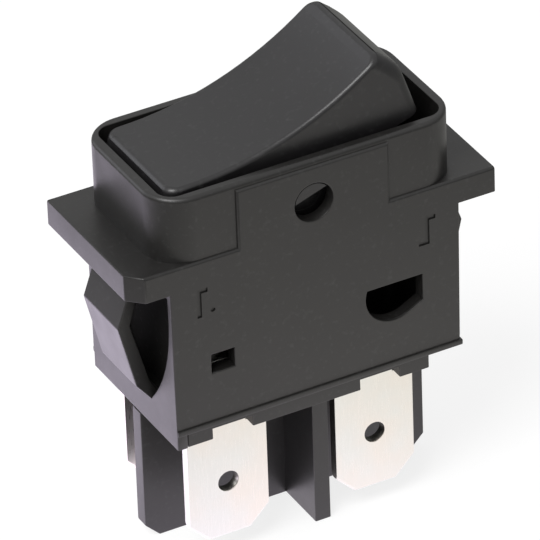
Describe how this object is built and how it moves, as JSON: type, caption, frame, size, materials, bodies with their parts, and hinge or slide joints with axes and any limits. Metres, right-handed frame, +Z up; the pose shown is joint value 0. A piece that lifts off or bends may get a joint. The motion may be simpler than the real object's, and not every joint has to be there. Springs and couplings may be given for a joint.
{
  "type": "panel rocker switch",
  "caption": "Snap-in panel rocker switch with a concave tilting rocker in a raised collar, side snap tongues, quick-connect tabs and a cross-shaped insulating barrier below.",
  "frame": {"origin": "middle of the feet of the cross barrier, on the surface the switch stands on when it is set down tabs first", "axes": "+Z up out of the panel towards the rocker, +X along the switch towards the end of the rocker that stands up at rest, +Y from the front pole to the rear pole"},
  "size_m": [0.0286, 0.013, 0.0366],
  "materials": {
    "black_polyamide": "satin moulded black polyamide",
    "black_polyamide_rocker": "satin moulded black polyamide",
    "tinned_brass": "bright tin plate on stamped brass",
    "contact_silver": "plain silver alloy rivet",
    "copper_strip": "stamped copper alloy strip",
    "plunger_brass": "turned brass",
    "spring_steel": "drawn steel wire"
  },
  "bodies": {
    "housing": {"housing": "black_polyamide", "base": "black_polyamide", "front_fixed_terminal": "tinned_brass", "front_common_terminal": "tinned_brass", "front_fixed_contact": "contact_silver", "rear_fixed_terminal": "tinned_brass", "rear_common_terminal": "tinned_brass", "rear_fixed_contact": "contact_silver"},
    "rocker": {"rocker": "black_polyamide_rocker", "front_plunger_spring": "spring_steel", "rear_plunger_spring": "spring_steel"},
    "front_lever": {"front_contact_lever": "copper_strip", "front_moving_contact": "contact_silver"},
    "rear_lever": {"rear_contact_lever": "copper_strip", "rear_moving_contact": "contact_silver"},
    "front_plunger": {"front_plunger": "plunger_brass"},
    "rear_plunger": {"rear_plunger": "plunger_brass"}
  },
  "joints": [
    {"name": "rocker_pivot", "type": "hinge", "parent": "housing", "child": "rocker", "pos_m": [0, 0, 0.0276], "axis": [0, 1, 0], "range_deg": [0, 37]},
    {"name": "front_lever_pivot", "type": "hinge", "parent": "housing", "child": "front_lever", "pos_m": [0, -0.0025, 0.0163], "axis": [0, 1, 0], "range_deg": [-16, 0]},
    {"name": "rear_lever_pivot", "type": "hinge", "parent": "housing", "child": "rear_lever", "pos_m": [0, 0.0025, 0.0163], "axis": [0, 1, 0], "range_deg": [-16, 0]},
    {"name": "front_plunger_slide", "type": "slide", "parent": "rocker", "child": "front_plunger", "axis": [-0.3173, 0, 0.9483], "range_m": [0, 0.0008], "stiffness_N_per_m": 400, "springref_m": -0.001, "deforming": ["front_plunger_spring"]},
    {"name": "rear_plunger_slide", "type": "slide", "parent": "rocker", "child": "rear_plunger", "axis": [-0.3173, 0, 0.9483], "range_m": [0, 0.0008], "stiffness_N_per_m": 400, "springref_m": -0.001, "deforming": ["rear_plunger_spring"]}
  ],
  "couplings": [
    {"joint": "front_lever_pivot", "follows": "rocker_pivot", "ratio": -0.43243},
    {"joint": "rear_lever_pivot", "follows": "rocker_pivot", "ratio": -0.43243}
  ]
}
